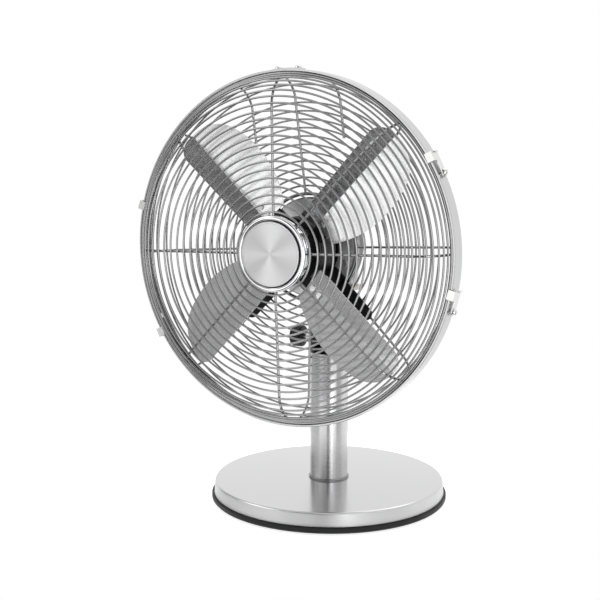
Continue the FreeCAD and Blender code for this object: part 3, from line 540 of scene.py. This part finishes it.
def build_guard_rings(name, node):
    """Smooth wire rings, each as large and as thick as the CAD ring it stands for."""
    shape = bmesh.new()
    for points in loose_parts(node):
        radii = np.hypot(points[:, 0], points[:, 2] - AXIS_HEIGHT)
        wire = (points[:, 1].max() - points[:, 1].min()) / 2
        add_ring(shape, radii.max() - wire, wire, (points[:, 1].max() + points[:, 1].min()) / 2)
    stands_for(from_bmesh(name, shape), node)


def smooth_node(node, bevel_mm=0.0, angle=30.0):
    """Keeps a CAD node, with soft shading and, where asked, its edges broken."""
    piece = nodes[node]
    piece.data.polygons.foreach_set("use_smooth", [True] * len(piece.data.polygons))
    piece.data.set_sharp_from_angle(angle=math.radians(angle))
    if bevel_mm:
        bevel = piece.modifiers.new("broken_edges", "BEVEL")
        bevel.width = bevel_mm * MM
        bevel.segments = 2
        bevel.limit_method = "ANGLE"
        bevel.angle_limit = math.radians(angle)
        bevel.harden_normals = True
    paint(piece, SLOT_MATERIALS[slot_of[node]])


COVER_WALL = 1.2
COVER_BORE = 5.3
COVER_DRAFT = 0.9
COVER_SHOULDER = 2.6
COLUMN_WALL = 1.5
BEZEL_WIDTH = 4.6
BEZEL_ROUND = 2.2
BADGE_STEP = 0.12
BADGE_RIM = 2.2
TURNED_SEGMENTS = 320


def build_cover():
    """Pressed steel cover: flat top, rolled shoulder, straight side with a small hem inside."""
    low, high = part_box("base_cover")
    radius, top, bottom = high.x / MM, high.z / MM, low.z / MM
    inside, drawn_in = radius - COVER_WALL, radius - COVER_DRAFT
    outline = rounded([(COVER_BORE, top, 0), (drawn_in, top, COVER_SHOULDER), (radius, bottom, 0.5),
                       (inside, bottom, 0.5),
                       (drawn_in - COVER_WALL, top - COVER_WALL, COVER_SHOULDER - COVER_WALL),
                       (COVER_BORE, top - COVER_WALL, 0)])
    piece = lathe("base_cover_shell", outline, "Z", TURNED_SEGMENTS)
    stands_for(piece, "base_cover", COVER_STEEL)
    piece.data.materials.append(cover_side_steel())
    for face in piece.data.polygons:
        if abs(face.normal.z) < 0.5:
            face.material_index = 1


def build_column():
    low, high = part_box("column_tube")
    radius, top, bottom = high.x / MM, high.z / MM, low.z / MM
    inside = radius - COLUMN_WALL
    outline = rounded([(radius, bottom, 0.3), (radius, top, 0.4), (inside, top, 0.4), (inside, bottom, 0.3)])
    stands_for(lathe("column_steel_tube", outline, "Z"), "column_tube")


def build_bezel():
    """Polished ring with a full round front and a shallow inner groove."""
    low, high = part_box("badge_bezel")
    radius, front, rear = high.x / MM, low.y / MM, high.y / MM
    inner = radius - BEZEL_WIDTH
    outline = rounded([(radius, front, BEZEL_ROUND), (radius, rear, 0.4), (inner, rear, 0.4),
                       (inner, front + 0.6, 1.2), (inner + 1.6, front, 1.2)], 8)
    stands_for(lathe("badge_polished_ring", outline, "Y"), "badge_bezel")


def build_badge():
    """Turned disc with a soft edge and a fine step round its face."""
    low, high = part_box("badge_disc")
    radius, front, rear = high.x / MM, low.y / MM, high.y / MM
    sunk = front + BADGE_STEP
    outline = [Vector((0, sunk))]
    outline += rounded([(radius - BADGE_RIM, sunk, 0.1), (radius - BADGE_RIM + 0.3, front, 0.1),
                        (radius, front, 0.7), (radius, rear, 0.3)])[:-1]
    outline += [Vector((radius, rear)), Vector((0, rear))]
    stands_for(lathe("badge_turned_disc", outline, "Y", closed=False), "badge_disc")


# Width in millimetres of the broken edges of the CAD nodes that stay
BROKEN_EDGES = {"guard_rim_band": 0.25, "tilt_socket": 0.5, "tilt_neck": 0.4, "guard_arms": 0.3,
                "blade_spider": 0.3, "motor_front_bell": 0.4, "swivel_housing": 0.5, "rear_cap": 0.4,
                "speed_knob": 0.3, "base_underpan": 0.3, "crank_link": 0.25, "rim_joint_strap": 0.25,
                "column_collar": 0.15}
BROKEN_EDGES.update({"guard_clip_%d" % number: 0.25 for number in range(1, 5)})
COVER_STEEL = cover_steel()

for node in nodes:
    smooth_node(node, BROKEN_EDGES.get(node, 0.0))
# Painted light: the motor's front bell takes the lighter copy of the casting.
paint(nodes["motor_front_bell"], painted_light_casting())
# Painted shade: the collar takes the darkened copy of the steel.
paint(nodes["column_collar"], dark_steel())
for number in range(4):
    blade = nodes["fan_blade_%d" % (number + 1)]
    paint(blade, blade_aluminium("blade_aluminium_%d" % (number + 1), FIRST_BLADE_ANGLE + 90 * number))
build_guard_rings("front_guard_wire_rings", "front_guard_rings")
build_guard_rings("rear_guard_wire_rings", "rear_guard_rings")
build_cover()
build_column()
build_bezel()
build_badge()


# ---- Studio ------------------------------------------------------------------------------------

# Soft panels around the fan as it sees them: azimuth from the front, elevation (degrees), brightness
STUDIO_PANELS = [
    ((-110, -16), (-50, 60), 0.5),
    ((-33, 15), (-22, 12), 1.5),
    ((-80, -35), (28, 50), 2.4),
    ((15, 30), (-50, 14), 0.02),
    ((15, 30), (14, 60), 0.2),
    ((30, 70), (-50, 10), 1.7),
    ((40, 48), (-50, 14), 5.5),
    ((30, 70), (10, 60), 0.9),
    ((67, 110), (-8, 60), 0.8),
    ((-30, 30), (-60, -25), 0.02),
    ((-180, 180), (60, 90), 0.4),
]
PANEL_EDGE = 6.0
BACK_WALL = 1.05
SUN_STRENGTH = 0.9
SUN_SPREAD = 70
STUDIO_GREY = 0.13


def build_floor():
    """Round light table: white, and nearly free of shadows."""
    mesh = bpy.data.meshes.new("floor")
    shape = bmesh.new()
    bmesh.ops.create_circle(shape, cap_ends=True, radius=FLOOR_RADIUS, segments=128)
    shape.to_mesh(mesh)
    shape.free()
    floor = bpy.data.objects.new("floor", mesh)
    floor.location = (0, 0, FLOOR_DROP)
    bpy.context.scene.collection.objects.link(floor)
    lit = Shader("lit_table", (0.6, 0.6, 0.6), 0.0, 0.8,
                 Emission_Color=(1.0, 1.0, 1.0, 1.0), Emission_Strength=0.8)
    paint(floor, lit.material)


def build_world():
    """White background; what the metal reflects is a grey room with a white wall behind and soft panels."""
    world = bpy.data.worlds.new("studio")
    bpy.context.scene.world = world
    world.use_nodes = True
    tree = world.node_tree
    background = tree.nodes["Background"]
    background.inputs["Color"].default_value = (1.0, 1.0, 1.0, 1.0)

    def node(kind, **values):
        made = tree.nodes.new(kind)
        for name, value in values.items():
            setattr(made, name, value)
        return made

    def calculate(operation, *inputs):
        made = node("ShaderNodeMath", operation=operation)
        for index, value in enumerate(inputs):
            if isinstance(value, (int, float)):
                made.inputs[index].default_value = value
            else:
                tree.links.new(value, made.inputs[index])
        return made.outputs["Value"]

    def ramp(value, start, end):
        made = node("ShaderNodeMapRange", interpolation_type="SMOOTHSTEP")
        made.inputs["From Min"].default_value = start
        made.inputs["From Max"].default_value = end
        tree.links.new(value, made.inputs["Value"])
        return made.outputs["Result"]

    def between(value, low, high):
        risen = ramp(value, low - PANEL_EDGE / 2, low + PANEL_EDGE / 2)
        return calculate("SUBTRACT", risen, ramp(value, high - PANEL_EDGE / 2, high + PANEL_EDGE / 2))

    def blend(first, second, share):
        made = node("ShaderNodeMix", data_type="FLOAT")
        for socket, value in (("Factor", share), ("A", first), ("B", second)):
            if isinstance(value, (int, float)):
                made.inputs[socket].default_value = value
            else:
                tree.links.new(value, made.inputs[socket])
        return made.outputs["Result"]

    separate = node("ShaderNodeSeparateXYZ")
    tree.links.new(node("ShaderNodeTexCoord").outputs["Generated"], separate.inputs["Vector"])
    x, y, z = (separate.outputs[letter] for letter in "XYZ")
    azimuth = calculate("DEGREES", calculate("ARCTAN2", x, calculate("MULTIPLY", y, -1.0)))
    elevation = calculate("DEGREES", calculate("ARCSINE", z))
    room = blend(STUDIO_GREY, BACK_WALL, ramp(y, 0.05, 0.45))
    for azimuths, elevations, brightness in STUDIO_PANELS:
        inside = calculate("MULTIPLY", between(azimuth, *azimuths), between(elevation, *elevations))
        room = blend(room, brightness, inside)
    seen = node("ShaderNodeLightPath").outputs["Is Camera Ray"]
    tree.links.new(blend(room, 1.0, seen), background.inputs["Strength"])


def build_overhead_light():
    data = bpy.data.lights.new("overhead_softbox", "SUN")
    data.energy = SUN_STRENGTH
    data.angle = math.radians(SUN_SPREAD)
    light = bpy.data.objects.new("overhead_softbox", data)
    light.rotation_euler = (math.radians(-12), 0, 0)
    bpy.context.scene.collection.objects.link(light)


def build_camera():
    data = bpy.data.cameras.new("camera")
    data.sensor_width = 36.0
    data.lens = CAMERA_LENS
    data.shift_x, data.shift_y = CAMERA_SHIFT
    camera = bpy.data.objects.new("camera", data)
    camera.location = CAMERA_PLACE
    camera.rotation_euler = (math.radians(90 - CAMERA_TILT_DOWN), 0, math.radians(CAMERA_YAW))
    bpy.context.scene.collection.objects.link(camera)
    bpy.context.scene.camera = camera


build_floor()
build_world()
build_overhead_light()
build_camera()
bpy.context.scene.view_settings.view_transform = "Standard"
